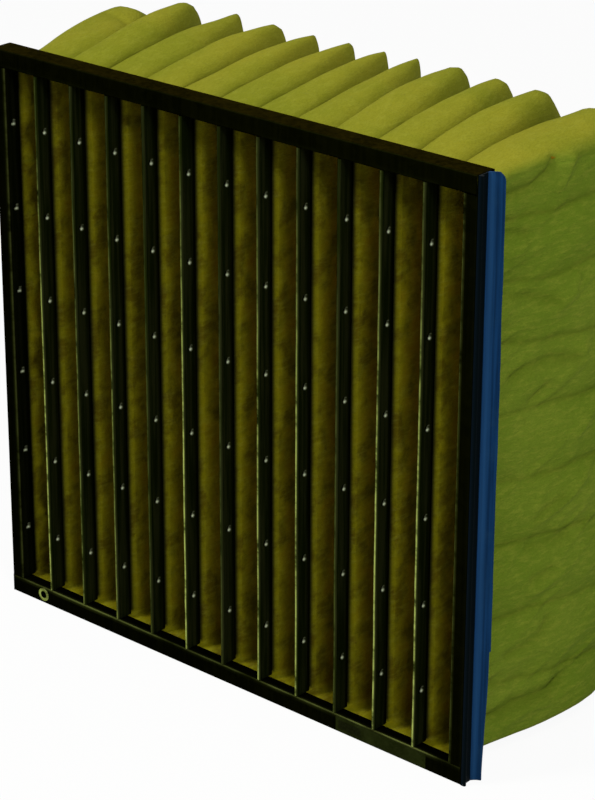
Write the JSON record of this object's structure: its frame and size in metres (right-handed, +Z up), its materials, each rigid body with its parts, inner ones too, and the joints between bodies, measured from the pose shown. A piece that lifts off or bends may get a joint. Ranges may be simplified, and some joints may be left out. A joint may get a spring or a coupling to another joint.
{
  "type": "bag air filter",
  "caption": "Square folded steel header with crimped channels that clamp a row of tapered filter media pockets open to the front, and a flared seal along one side.",
  "frame": {"origin": "middle of the header's underside, halfway between its front and back faces", "axes": "+X to the right across the face, +Y back through the filter with the air, +Z up"},
  "size_m": [0.6226, 0.2405, 0.601],
  "materials": {
    "header_steel": "dark zinc-coated sheet, satin",
    "channel_steel": "zinc-coated sheet with a soft shine",
    "filter_media": "matt nonwoven fibre media, yellow green",
    "seal_plastic": "blue flexible profile, satin",
    "label_paper": "plain grey paper label with nothing printed on it"
  },
  "bodies": {
    "root": {"header_rail_bottom": "header_steel", "header_rail_top": "header_steel", "header_post_left": "header_steel", "header_post_right": "header_steel", "divider_channel_1": "channel_steel", "divider_channel_2": "channel_steel", "divider_channel_3": "channel_steel", "divider_channel_4": "channel_steel", "divider_channel_5": "channel_steel", "divider_channel_6": "channel_steel", "divider_channel_7": "channel_steel", "divider_channel_8": "channel_steel", "divider_channel_9": "channel_steel", "divider_channel_10": "channel_steel", "divider_channel_11": "channel_steel", "media_pocket_1": "filter_media", "media_pocket_2": "filter_media", "media_pocket_3": "filter_media", "media_pocket_4": "filter_media", "media_pocket_5": "filter_media", "media_pocket_6": "filter_media", "media_pocket_7": "filter_media", "media_pocket_8": "filter_media", "media_pocket_9": "filter_media", "media_pocket_10": "filter_media", "media_pocket_11": "filter_media", "media_pocket_12": "filter_media", "side_seal": "seal_plastic", "blank_label": "label_paper"}
  },
  "joints": []
}
